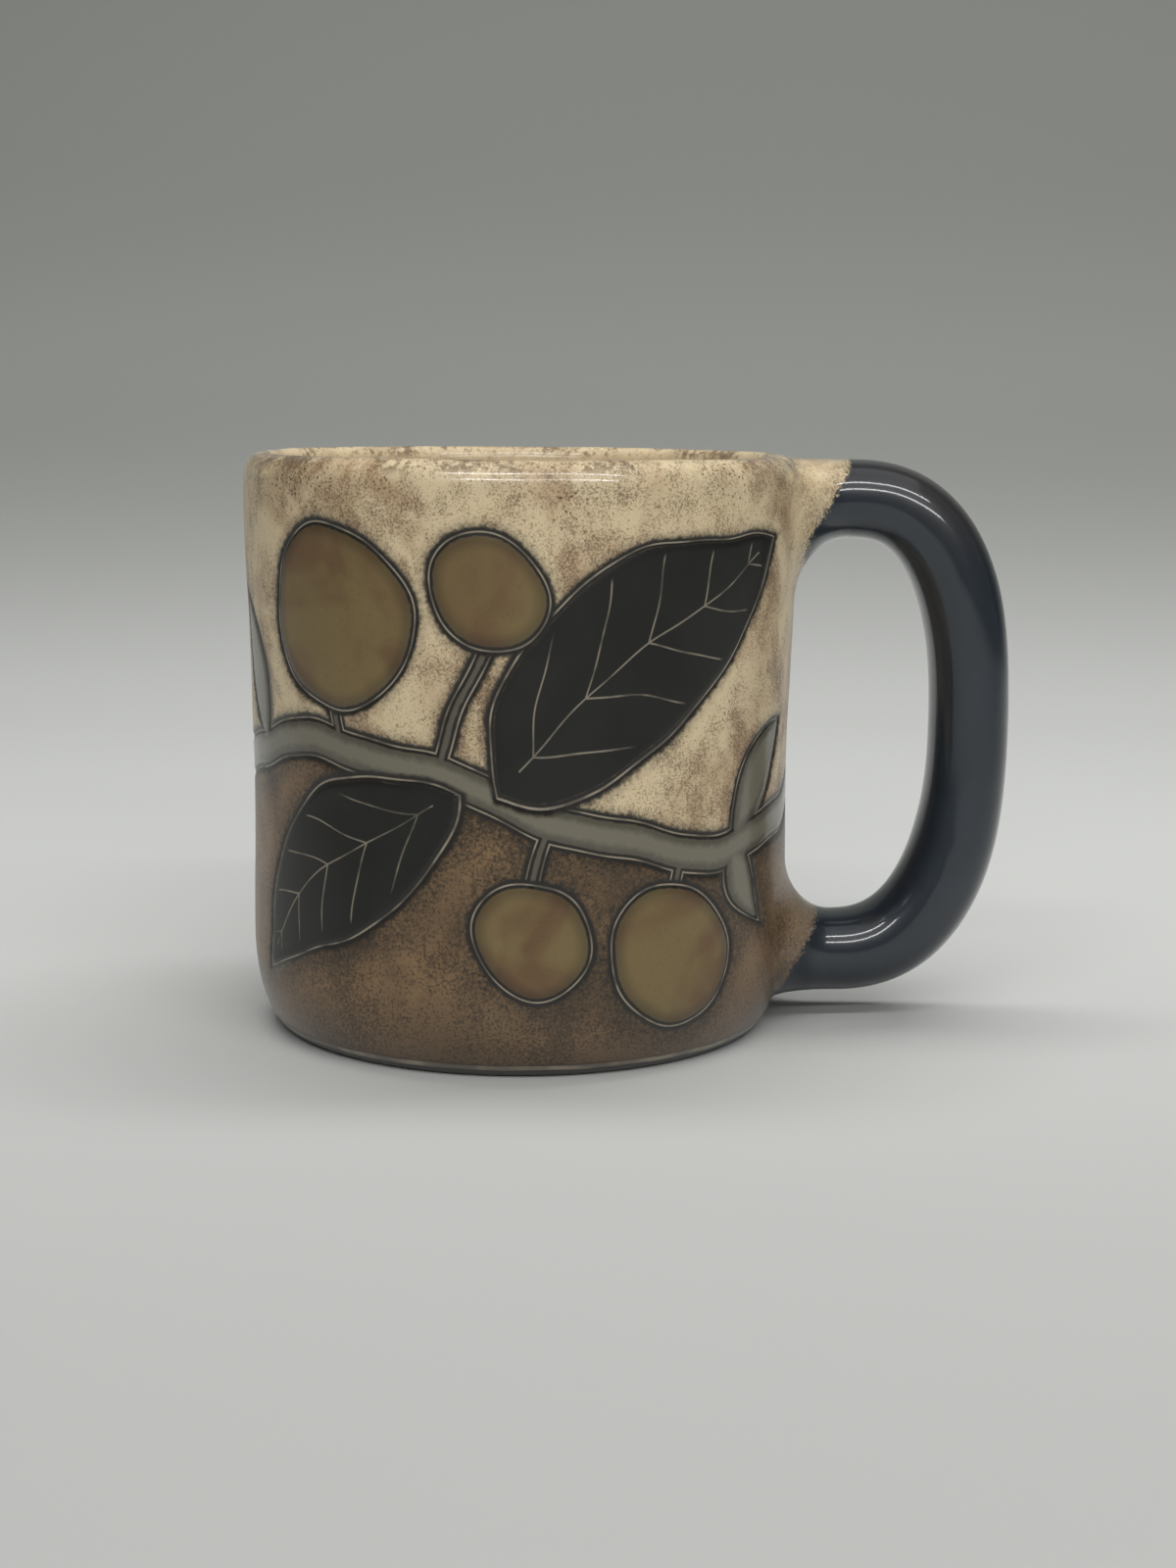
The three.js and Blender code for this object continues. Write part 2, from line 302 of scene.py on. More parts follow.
def noise(place, size, detail=3.0, roughness=0.55, distortion=0.0):
    """Cloudy noise from 0 to 1 with forms of about the given size."""
    return place.node("ShaderNodeTexNoise", None, {
        "Vector": place, "Scale": 1.0 / size, "Detail": detail,
        "Roughness": roughness, "Distortion": distortion})


def specks(place, size, share, spread):
    """Round specks in some cells of the given size: 1 on a speck, 0 between."""
    cells = place.node("ShaderNodeTexVoronoi", None, {"Vector": place, "Scale": 1.0 / size})
    tone = place.node("ShaderNodeSeparateColor", None, {
        "Color": Paint(place.tree, cells.socket.node.outputs["Color"])})
    return (1.0 - eased(cells, spread * 0.5, spread)) * (tone > 1.0 - share)


# The cup's form

def rounded_drop(share):
    return 1.0 - np.sqrt(1.0 - np.clip(share, 0.0, 1.0) ** 2)


def outer_radius(cup, z):
    rim_start = cup.height - cup.rim_drop
    lower = mixed(cup.belly_radius, cup.waist_radius, eased(z, cup.foot_curve, cup.waist_height))
    body = mixed(lower, cup.top_radius, eased(z, cup.waist_height, rim_start))
    foot_drop = (cup.belly_radius - cup.foot_radius) * rounded_drop(1.0 - z / cup.foot_curve)
    return body - foot_drop - cup.rim_depth * rounded_drop((z - rim_start) / cup.rim_drop)


def inner_radius(cup, z):
    return mixed(cup.belly_radius - cup.foot_wall, cup.top_radius - cup.rim_wall, z / cup.height)


def upper_root(cup, handle):
    z = cup.height - handle.upper_drop - handle.upper_thickness / 2
    return outer_radius(cup, z), z


def lower_root(cup, handle):
    z = cup.ledge + handle.lower_rise + handle.lower_thickness / 2
    return outer_radius(cup, z), z


def handle_path(cup, handle):
    """Points of the centreline between the collars, and the section's share of its mean size at each."""
    (upper_x, upper_z), (lower_x, lower_z) = upper_root(cup, handle), lower_root(cup, handle)
    thickness = mean_thickness(handle)
    grip_x, grip_z = handle.reach - thickness / 2, (upper_z + lower_z) / 2
    angles = np.linspace(math.pi / 2, -math.pi / 2, 2001)
    is_upper = angles > 0
    power = 2.0 / np.where(is_upper, handle.upper_power, handle.lower_power)
    limb_x = np.where(is_upper, upper_x, lower_x) + handle.collar
    limb_z = np.where(is_upper, upper_z, lower_z)
    x = mixed(limb_x, grip_x, np.abs(np.cos(angles)) ** power)
    z = mixed(grip_z, limb_z, np.abs(np.sin(angles)) ** power)
    travel = np.concatenate([[0.0], np.cumsum(np.hypot(np.diff(x), np.diff(z)))])
    even = np.linspace(0.0, travel[-1], HANDLE_STEPS)
    share = (handle.collar + even) / (travel[-1] + 2 * handle.collar)
    swell = handle.bend_swell * np.sin(2 * math.pi * share) ** 2
    size = (mixed(handle.upper_thickness, handle.lower_thickness, share) + swell) / thickness
    return list(zip(np.interp(even, travel, x), np.interp(even, travel, z))), size


def mean_thickness(handle):
    return (handle.upper_thickness + handle.lower_thickness) / 2


# The painted vine scroll, worked out alike for vertex arrays and for shader sockets

def unrolled(cup, x, y, z):
    """Angle round the wall, and the place in its half turn of the picture, with a drawn line's wobble."""
    angle = np.arctan2(x, 0.0 - y)
    turns = angle / math.pi
    place = (turns - np.floor(turns + 0.5)) * (math.pi * cup.waist_radius)
    place = place + 0.0006 * np.sin(z * 210.0 + 1.3) + 0.00012 * np.sin(z * 530.0)
    height = z + 0.0007 * np.sin(angle * 10.0 + 0.7) + 0.00012 * np.sin(angle * 26.0)
    return angle, place, height


def leaf_lines(leaf, place, height):
    """Distance along a leaf from its middle, and distance off its curved midrib."""
    cosine, sine = math.cos(leaf.tilt), math.sin(leaf.tilt)
    along = (place - leaf.place) * cosine + (height - leaf.height) * sine
    across = (height - leaf.height) * cosine - (place - leaf.place) * sine
    share = along / leaf.half_length
    return along, across - leaf.bend * (1.0 - share * share)


def leaf_distance(leaf, along, across):
    """Distance outside a leaf's edge: two arcs that meet at its points, fuller towards its base."""
    radius = (leaf.half_length ** 2 + leaf.half_width ** 2) / (2 * leaf.half_width)
    side = np.absolute(across) * (1.0 + along * (0.28 / leaf.half_length)) + (radius - leaf.half_width)
    return np.sqrt(along * along + side * side) - radius


def pod_distance(pod, place, height):
    x, y = place - pod.place, height - pod.height
    return np.sqrt(x * x + y * y) - pod.radius


def stem_distance(stem, width, place, height):
    run, rise = stem.end_place - stem.place, stem.end_height - stem.height
    x, y = place - stem.place, height - stem.height
    share = np.minimum(np.maximum((x * run + y * rise) / (run * run + rise * rise), 0.0), 1.0)
    x, y = x - share * run, y - share * rise
    return np.sqrt(x * x + y * y) - width / 2


def vine_offset(ornament, angle, height):
    return height - (ornament.vine_height - ornament.vine_rise * np.sin(angle * 2.0))


def scroll(ornament, angle, place, height):
    """Distances outside the edges of the sage, black and ochre shapes."""
    sage = np.absolute(vine_offset(ornament, angle, height)) - ornament.vine_width / 2
    for leaf in SAGE_LEAVES:
        sage = np.minimum(sage, leaf_distance(leaf, *leaf_lines(leaf, place, height)))
    for stem in STEMS:
        sage = np.minimum(sage, stem_distance(stem, ornament.stem_width, place, height))
    black = 1.0
    for leaf in BLACK_LEAVES:
        black = np.minimum(black, leaf_distance(leaf, *leaf_lines(leaf, place, height)))
    ochre = 1.0
    for pod in PODS:
        ochre = np.minimum(ochre, pod_distance(pod, place, height))
    return sage, black, ochre


def vein_distance(place, height):
    """Distance from the midribs and side veins scratched into the black leaves."""
    nearest = 1.0
    for leaf in BLACK_LEAVES:
        along, across = leaf_lines(leaf, place, height)
        slant = (along - np.absolute(across) * 1.1) / (leaf.half_length * 0.36)
        side_vein = np.absolute(slant - np.floor(slant + 0.5)) * (leaf.half_length * 0.24)
        end = np.maximum(along - leaf.half_length * 0.82, -0.82 * leaf.half_length - along)
        nearest = np.minimum(nearest, np.maximum(np.minimum(np.absolute(across), side_vein), end))
    return nearest


def outline_weight(ornament, distances):
    """1 in the middle of the outlines that show, 0 away from them; later shapes lie over earlier ones."""
    weight = 0.0
    for distance in distances:
        own = 1.0 - eased(np.absolute(distance), ornament.outline * 0.3, ornament.outline * 1.3)
        weight = np.maximum(weight * eased(distance, -ornament.outline, 0.0), own)
    return weight


# Modelling

def deselect():
    if bpy.context.object and bpy.context.object.mode != "OBJECT":
        bpy.ops.object.mode_set(mode="OBJECT")
    bpy.ops.object.select_all(action="DESELECT")


def close_mesh():
    """Merges what meets, turns the faces outwards and leaves edit mode."""
    bpy.ops.mesh.select_all(action="SELECT")
    bpy.ops.mesh.remove_doubles(threshold=1e-7)
    bpy.ops.mesh.normals_make_consistent(inside=False)
    bpy.ops.object.mode_set(mode="OBJECT")
    bpy.ops.object.shade_smooth_by_angle(angle=SMOOTH_ANGLE)


def turned(profile, segments):
    """Draws (radius, height) points by extruding one vertex, and turns them about the cup's axis."""
    deselect()
    bpy.ops.mesh.primitive_plane_add()
    piece = bpy.context.object
    bpy.ops.object.mode_set(mode="EDIT")
    bpy.ops.mesh.merge(type="CENTER")
    points = [Vector((radius, 0.0, z)) for radius, z in profile]
    bpy.ops.transform.translate(value=points[0])
    for here, there in zip(points, points[1:]):
        bpy.ops.mesh.extrude_vertices_move(TRANSFORM_OT_translate={"value": there - here})
    bpy.ops.object.mode_set(mode="OBJECT")
    turn = piece.modifiers.new("turn", "SCREW")
    turn.steps = turn.render_steps = segments
    bpy.ops.object.modifier_apply(modifier=turn.name)
    bpy.ops.object.mode_set(mode="EDIT")
    close_mesh()
    return piece


def quarter(centre, size, start):
    """(radius, height) points of a quarter ellipse about a centre, from a start angle."""
    angles = np.linspace(start, start + math.pi / 2, ROUND_STEPS)
    return [(centre[0] + size[0] * math.cos(a), centre[1] + size[1] * math.sin(a)) for a in angles]


def vertex_places(piece):
    places = np.empty(len(piece.data.vertices) * 3)
    piece.data.vertices.foreach_get("co", places)
    return places.reshape(-1, 3)


def displace(piece, name, weights, strength, middle=0.0, texture=None):
    """Moves the surface along its normals by a weight for each vertex."""
    group = piece.vertex_groups.new(name=name)
    for index in np.flatnonzero(weights > 1e-4):
        group.add([int(index)], float(weights[index]), "REPLACE")
    modifier = piece.modifiers.new(name, "DISPLACE")
    modifier.vertex_group = name
    modifier.strength = strength
    modifier.mid_level = middle
    modifier.texture = texture
    bpy.context.view_layer.objects.active = piece
    bpy.ops.object.modifier_apply(modifier=modifier.name)
    piece.vertex_groups.clear()


def hand_texture(size):
    texture = bpy.data.textures.new("hand", "CLOUDS")
    texture.noise_scale = size
    return texture


def hand_over(piece, name, node, slot, *materials):
    """Names the piece, gives it its materials and puts it in the place of its CAD node."""
    piece.name = piece.data.name = name
    for material in materials:
        piece.data.materials.append(material)
    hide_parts(node)
    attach(piece, "root")


def oval(half_width, half_height):
    """A rounded oval curve, a little fuller than an ellipse, the width along X and the height along Y."""
    deselect()
    bpy.ops.curve.primitive_bezier_circle_add(radius=1.0)
    curve = bpy.context.object
    curve.data.resolution_u = OVAL_STEPS
    for point in curve.data.splines[0].bezier_points:
        left, right = point.handle_left - point.co, point.handle_right - point.co
        point.handle_left_type = point.handle_right_type = "FREE"
        point.handle_left = point.co + left * SECTION_FULLNESS
        point.handle_right = point.co + right * SECTION_FULLNESS
    curve.scale = (half_width, half_height, 1.0)
    bpy.ops.object.transform_apply(location=False, rotation=False, scale=True)
    return curve


CollarForm = namedtuple("CollarForm", "root_x root_z half_width half_height up down")


def collar_form(cup, handle, is_upper):
    """A collar's root, the handle's half sizes at its end and how far the collar spreads up and down."""
    size = handle_path(cup, handle)[1][0 if is_upper else -1]
    halves = handle.width / 2 * size, mean_thickness(handle) / 2 * size
    if is_upper:
        return CollarForm(
            *upper_root(cup, handle), *halves, handle.upper_drop * handle.outer_share, handle.inner_flare)
    return CollarForm(
        *lower_root(cup, handle), *halves, handle.inner_flare, handle.lower_rise * handle.outer_share)


def collar_reach(handle, form, y, z):
    """1 on the edge of a collar's footprint on the wall, less inside it."""
    across = np.absolute(y) / (form.half_width + handle.side_flare)
    middle = form.root_z + (form.up - form.down) / 2
    upward = np.absolute(z - middle) / (form.half_height + (form.up + form.down) / 2)
    return (across ** FOOTPRINT_POWER + upward ** FOOTPRINT_POWER) ** (1 / FOOTPRINT_POWER)


# Glazes

def new_glaze(name):
    """A material with its object coordinates and their three parts."""
    material = bpy.data.materials.new(name)
    material.use_nodes = True
    place = Paint(material.node_tree).node("ShaderNodeTexCoord", output="Object")
    parts = place.node("ShaderNodeSeparateXYZ", None, {0: place}).socket.node.outputs
    return material, place, [Paint(place.tree, part) for part in parts]


def fire(material, base, roughness, height, depth, coat=0.0):
    """Gives the shader its colour, its roughness, a bump of the given depth and a clear gloss."""
    shader = material.node_tree.nodes["Principled BSDF"]
    bump = height.node("ShaderNodeBump", None, {"Height": height, "Distance": depth})
    inputs = {
        "Base Color": base, "Roughness": roughness, "Normal": bump, "Coat Weight": coat,
        "Coat Roughness": 0.1, "Specular IOR Level": 0.4}
    for name, value in inputs.items():
        height.fill(shader.inputs[name], value)
    return material


def stipple(place, size, density):
    """Grain sprayed from a brush: 1 on a grain, 0 between, and more of them where the density is higher."""
    return eased(noise(place, size, 3.0, 0.7) + density, 0.47, 0.68)


def cream_ground(place, colours, z):
    """Cream with blushing clouds brushed upright, and patches of fine spray towards the rim."""
    upright = place.node("ShaderNodeMapping", None, {"Vector": place, "Scale": (1.0, 1.0, 0.65)})
    drift = noise(upright, 0.012, 4.0, 0.62, 0.6)
    cloud = eased(drift, 0.43, 0.72)
    density = (drift - 0.5) * 0.5 + (noise(place, 0.007, 3.0) - 0.5) * 0.5
    base = tinted(cloud * 0.74, colours.cream, colours.blush)
    base = tinted(stipple(place, 0.00036, density) * 0.72, base, colours.grain)
    base = tinted(specks(place, 0.0010, 0.35, 0.24) * 0.5, base, colours.spray)
    patch = eased(z, 0.086, 0.096) * eased(noise(place, 0.013, 2.0), 0.45, 0.62)
    return tinted(specks(place, 0.0009, 0.6, 0.34) * patch * 0.8, base, colours.spray)


def lining(place, colours, z):
    """The paler cream inside the cup."""
    pale = 0.45 + noise(place, 0.03, 2.0) * 0.35
    return tinted(pale, cream_ground(place, colours, z), colours.cream)


def umber_ground(place, colours, z):
    """Umber with dusky clouds, spray and a darker foot."""
    murk = eased(noise(place, 0.018, 3.0, 0.6), 0.38, 0.66)
    density = (noise(place, 0.012, 3.0) - 0.5) * 0.5 + 0.03
    foot = 1.0 - eased(z + (noise(place, 0.02) - 0.5) * 0.012, 0.0, 0.022)
    base = tinted(np.maximum(murk * 0.6, foot * 0.7), colours.umber, colours.dusk)
    base = tinted(stipple(place, 0.0005, density) * 0.8, base, colours.spray)
    return tinted(specks(place, 0.0007, 0.5, 0.4) * 0.5, base, colours.spray)


def ground_glaze(place, ornament, colours, angle, height):
    """Cream above the vine and umber below it."""
    above = eased(vine_offset(ornament, angle, height), -0.001, 0.001)
    return tinted(above, umber_ground(place, colours, height), cream_ground(place, colours, height)), above


def glaze_skin(place):
    """Height of the glaze's fine unevenness."""
    return noise(place, 0.0012, 2.0) * 0.35 + noise(place, 0.004, 2.0)


def painting(cup, ornament, colours, place, x, y, z):
    """Colour, roughness and scratched lines of the ground and the scroll, for wall and collars alike."""
    angle, around, height = unrolled(cup, x, y, z)
    base, above = ground_glaze(place, ornament, colours, angle, height)
    sage, black, ochre = scroll(ornament, angle, around, height)
    fray = (noise(place, 0.0013, 2.0) - 0.5) * 0.0012
    inside = eased(inner_radius(cup, z) + INSIDE_MARGIN - np.sqrt(x * x + y * y), -0.0002, 0.0002)
    outside = 1.0 - inside
    base = tinted(inside, base, lining(place, colours, z))
    crest = eased(z, cup.height - cup.rim_drop * 0.7, cup.height - cup.rim_drop * 0.2)
    crest_grain = stipple(place, 0.0012, (noise(place, 0.008) - 0.5) * 0.8)
    base = tinted(crest * crest_grain * 0.75, base, colours.grain)
    nearest = np.minimum(np.minimum(sage, black), ochre) + fray
    halo = (1.0 - eased(nearest, 0.0, ornament.halo * (1.0 - above * 0.6))) * outside
    base = tinted(halo * (0.4 + stipple(place, 0.0007, 0.06) * 0.5), base, colours.outline)
    ripe = eased(noise(place, 0.016, 2.0, 0.5, 0.8), 0.38, 0.66)
    deep = eased(ochre, -0.0035, -0.0008)
    thick = eased(sage + fray, -0.0026, -0.0010)
    fills = (
        (sage, 0.2, tinted(thick, colours.sage, [c * 0.55 for c in colours.sage])),
        (black, 0.44, tinted(ripe, colours.leaf, [c * 1.5 for c in colours.leaf])),
        (ochre, 0.34, tinted(np.maximum(deep * 0.45, stipple(place, 0.0005, -0.02) * 0.15),
                             tinted(ripe, colours.ochre, colours.russet), colours.outline)),
    )
    line = 0.0
    gloss = SATIN
    for distance, roughness, fill in fills:
        frayed = np.absolute(distance + fray * 0.6)
        band = (1.0 - eased(frayed, ornament.outline * 0.6, ornament.outline * 1.6)) * outside
        edge = eased(distance + fray * 0.2, -ornament.outline, -ornament.outline * 0.7)
        fill_share = (1.0 - edge) * outside
        base = tinted(band, base, colours.outline)
        base = tinted(fill_share, base, fill)
        gloss = mixed(gloss, roughness, fill_share)
        own = 1.0 - eased(np.absolute(distance), ornament.hairline * 0.5, ornament.hairline)
        line = np.maximum(line * (1.0 - np.maximum(fill_share, band)), own * outside)
    veins = 1.0 - eased(vein_distance(around, height), ornament.hairline * 0.4, ornament.hairline)
    in_leaf = (1.0 - eased(black, -0.0030, -0.0018)) * eased(ochre, 0.0, 0.001)
    line = np.maximum(line, veins * in_leaf * outside * 0.8)
    worn = eased(noise(place, 0.006, 2.0), 0.35, 0.6)
    return tinted(line * (0.25 + worn * 0.65), base, colours.hairline), gloss, line


def cup_coat(cup, place, z):
    """A faint gloss on the cup, stronger on the foot and in patches on the rim."""
    rim = eased(z, cup.height - cup.rim_drop * 1.4, cup.height - cup.rim_drop * 0.8)
    foot = 1.0 - eased(z, cup.ledge, cup.foot_curve)
    patches = 0.25 + 0.65 * eased(noise(place, 0.007, 2.0), 0.4, 0.62)
    return CUP_COAT + foot * (FOOT_COAT - CUP_COAT) + rim * patches


def wall_glaze(cup, ornament, colours):
    material, place, (x, y, z) = new_glaze("wall_glaze")
    base, gloss, line = painting(cup, ornament, colours, place, x, y, z)
    height = glaze_skin(place) - line * GROOVE_DEPTH
    return fire(material, base, gloss, height, WALL_SKIN, cup_coat(cup, place, z))


def black_depth(place, cup, handle, is_upper, x, y, z):
    """How far a place at a root lies within the handle's black glaze, which has a ragged, slanted edge."""
    form = collar_form(cup, handle, is_upper)
    start = form.root_x + (handle.upper_glaze if is_upper else handle.lower_glaze)
    rise = np.minimum(np.maximum(z - form.root_z, -form.half_height), form.half_height)
    flank = eased(np.absolute(y) - form.half_width, handle.side_flare * 0.35, handle.side_flare * 0.9)
    ragged = (noise(place, 0.004, 3.0) - 0.5) * 0.002 + (noise(place, 0.0005, 2.0) - 0.5) * 0.003
    return x - start - rise * handle.glaze_slant - flank * handle.collar + ragged


def black_glaze(place, cup, handle, colours, x, z):
    """Blue-black, with a grey painted sheen of the light from above on the top of the handle and the outside
    of its upper bend.
    """
    shade = eased(noise(place, 0.012, 3.0), 0.35, 0.7)
    base = tinted(shade, colours.handle, [c * 1.35 for c in colours.handle])
    # Painted sheen of the light from above: grey over the top of the handle and the outside of its upper
    # bend
    corner = handle.reach * SHEEN_LEAN + cup.height
    paler_share = eased(x * SHEEN_LEAN + z + (noise(place, 0.01) - 0.5) * 0.006, corner - 0.027, corner - 0.013)
    return tinted(paler_share, base, colours.painted_sheen)


def collar_glaze(cup, handle, ornament, colours):
    material, place, (x, y, z) = new_glaze("collar_glaze")
    base, gloss, _ = painting(cup, ornament, colours, place, x, y, z)
    lower, upper = [black_depth(place, cup, handle, is_upper, x, y, z) for is_upper in (False, True)]
    is_high = eased(z, cup.height * 0.4, cup.height * 0.6)
    depth = mixed(lower, upper, is_high)
    black = eased(depth, -0.0006, 0.0006)
    dust = eased(depth, -0.0045, 0.0) * stipple(place, 0.0006, 0.05)
    outwards = eased(x, cup.top_radius, cup.top_radius + handle.collar * 0.6)
    coat = np.maximum(cup_coat(cup, place, z), outwards)
    # The collar is made paler towards the handle's end: paler cream on the upper collar, pale clay on the
    # lower
    paler_share = eased(x, cup.top_radius - 0.004, cup.top_radius + 0.003) * 0.42
    base = tinted(paler_share, base, tinted(is_high, colours.hairline, colours.cream))
    base = tinted(dust * 0.6, base, colours.spray)
    base = tinted(black, base, black_glaze(place, cup, handle, colours, x, z))
    return fire(material, base, gloss, glaze_skin(place), HANDLE_SKIN, coat)


def handle_glaze(cup, handle, colours):
    material, place, (x, _, z) = new_glaze("handle_glaze")
    base = black_glaze(place, cup, handle, colours, x, z)
    return fire(material, base, SATIN, glaze_skin(place), HANDLE_SKIN, 1.0)


def liner_glaze(colours):
    material, place, (_, _, z) = new_glaze("liner_glaze")
    return fire(material, lining(place, colours, z), 0.32, glaze_skin(place), WALL_SKIN, 0.2)


def foot_glaze(cup, ornament, colours):
    """Gritty clay with smoothing rings underneath, and a scratched line in the glaze of the foot's edge with
    painted shadow below it.
    """
    material, place, (x, y, z) = new_glaze("foot_glaze")
    radius = np.sqrt(x * x + y * y)
    grit = noise(place, 0.0008, 3.0, 0.7)
    base = tinted(noise(place, 0.012, 4.0), colours.clay, [c * 0.7 for c in colours.clay])
    base = tinted(specks(place, 0.0016, 0.35, 0.3) * 0.6, base, colours.spray)
    glazed = eased(radius + (grit - 0.5) * 0.001, cup.foot_radius - 0.0002, cup.foot_radius + 0.0006)
    edge = np.absolute(z - ornament.foot_line + (noise(place, 0.009, 2.0) - 0.5) * 0.0006)
    # Below the foot line the edge is painted dark as the shadow under the foot
    glaze = tinted(eased(z, ornament.foot_line, cup.ledge), colours.outline, umber_ground(place, colours, z))
    line = (1.0 - eased(edge, 0.0003, 0.00055)) * (0.4 + eased(noise(place, 0.01), 0.4, 0.6) * 0.5)
    base = tinted(glazed, base, tinted(line, glaze, colours.hairline))
    height = (grit + np.sin(radius * 5200.0) * 0.4) * (1.0 - glazed)
    return fire(material, base, 0.8 - glazed * 0.4, height, CLAY_GRIT, glazed * FOOT_COAT)


# Operators

class MUG_OT_wall(bpy.types.Operator):
    """The cup's wall with its rounded rim and the painted scroll in low relief"""
    bl_idname = "mug.wall"
    bl_label = "Cup Wall"

    def execute(self, context):
        cup, handle, ornament, colours, _ = settings(context)
        rim_start = cup.height - cup.rim_drop
        inner_start = cup.height - cup.rim_inner_drop
        crest = cup.top_radius - cup.rim_depth
        inner_depth = crest - inner_radius(cup, inner_start)
        side = [(outer_radius(cup, z), z) for z in np.linspace(cup.ledge, rim_start, WALL_RINGS)[:-1]]
        rim = quarter((crest, rim_start), (cup.rim_depth, cup.rim_drop), 0.0)
        inner_rim = quarter((crest, inner_start), (inner_depth, cup.rim_inner_drop), math.pi / 2)
        heights = np.linspace(inner_start, cup.ledge, INSIDE_RINGS)[1:]
        inside = [(inner_radius(cup, z), z) for z in heights]
        profile = [*side, *rim, *inner_rim[1:], *inside, side[0]]
        wall = turned(profile, WALL_SEGMENTS)
        self.shape(wall, cup, handle, ornament)
        hand_over(wall, "painted_wall", "cup_wall", "cream_glaze", wall_glaze(cup, ornament, colours))
        return {"FINISHED"}

    def shape(self, wall, cup, handle, ornament):
        """Sinks the outlines, dips the wall under the collars and leaves the unevenness of the hand."""
        x, y, z = vertex_places(wall).T
        is_outside = np.hypot(x, y) > inner_radius(cup, z) + INSIDE_MARGIN
        angle, place, height = unrolled(cup, x, y, z)
        grooves = outline_weight(ornament, scroll(ornament, angle, place, height)) * is_outside
        forms = [collar_form(cup, handle, is_upper) for is_upper in (True, False)]
        reach = np.minimum(*[collar_reach(handle, form, y, z) for form in forms])
        reach = np.where(x > 0, reach, 2.0)
        covered = (1.0 - eased(reach, 0.9, 0.99)) * is_outside
        free = eased(reach, 1.0, 1.6) * eased(z, cup.floor + cup.coil, cup.waist_height)
        displace(wall, "outlines", grooves, -ornament.relief)
        displace(wall, "under_collars", covered, -cup.slip)
        displace(wall, "hand", free, cup.wobble, 0.5, hand_texture(0.022))


class MUG_OT_floor(bpy.types.Operator):
    """The floor slab with the rounded foot edge, the ledge under the wall and the raised middle"""
    bl_idname = "mug.floor"
    bl_label = "Floor"

    def execute(self, context):
        cup, _, ornament, colours, _ = settings(context)
        heights = cup.ledge * np.linspace(0.0, 1.0, ROUND_STEPS) ** 2
        edge = [(outer_radius(cup, z), z) for z in heights]
        middle = inner_radius(cup, cup.ledge) - cup.slip
        spokes = np.linspace(0.0, cup.foot_radius, 8)[:-1]
        under = [(radius, 0.0) for radius in spokes]
        over = [(radius, cup.floor) for radius in spokes[::-1]]
        slab = turned([*under, *edge, (middle, cup.ledge), (middle, cup.floor), *over], FLOOR_SEGMENTS)
        hand_over(slab, "clay_floor", "cup_floor", "bare_clay",
                  foot_glaze(cup, ornament, colours), liner_glaze(colours))
        for face in slab.data.polygons:
            face.material_index = int(face.center.z > (cup.ledge + cup.floor) / 2)
        return {"FINISHED"}


class MUG_OT_coil(bpy.types.Operator):
    """The coil of clay smoothed into the corner between floor and wall"""
    bl_idname = "mug.coil"
    bl_label = "Seam Coil"

    def execute(self, context):
        cup, _, _, colours, _ = settings(context)
        angles = np.linspace(0.0, math.pi / 2, ROUND_STEPS + 6)
        hollow = [self.place(cup, mixed(cup.coil, cup.coil_edge, math.sin(a)),
                             mixed(cup.coil, cup.coil_edge, math.cos(a))) for a in angles[::-1]]
        corners = [self.place(cup, cup.coil, 0.0), self.place(cup, 0.0, 0.0), self.place(cup, 0.0, cup.coil)]
        coil = turned([*corners, *hollow, corners[0]], FLOOR_SEGMENTS)
        hand_over(coil, "seam_coil", "floor_seam_coil", "liner_glaze", liner_glaze(colours))
        return {"FINISHED"}

    def place(self, cup, inset, rise):
        z = cup.floor + rise
        return inner_radius(cup, z) - cup.seam - inset, z


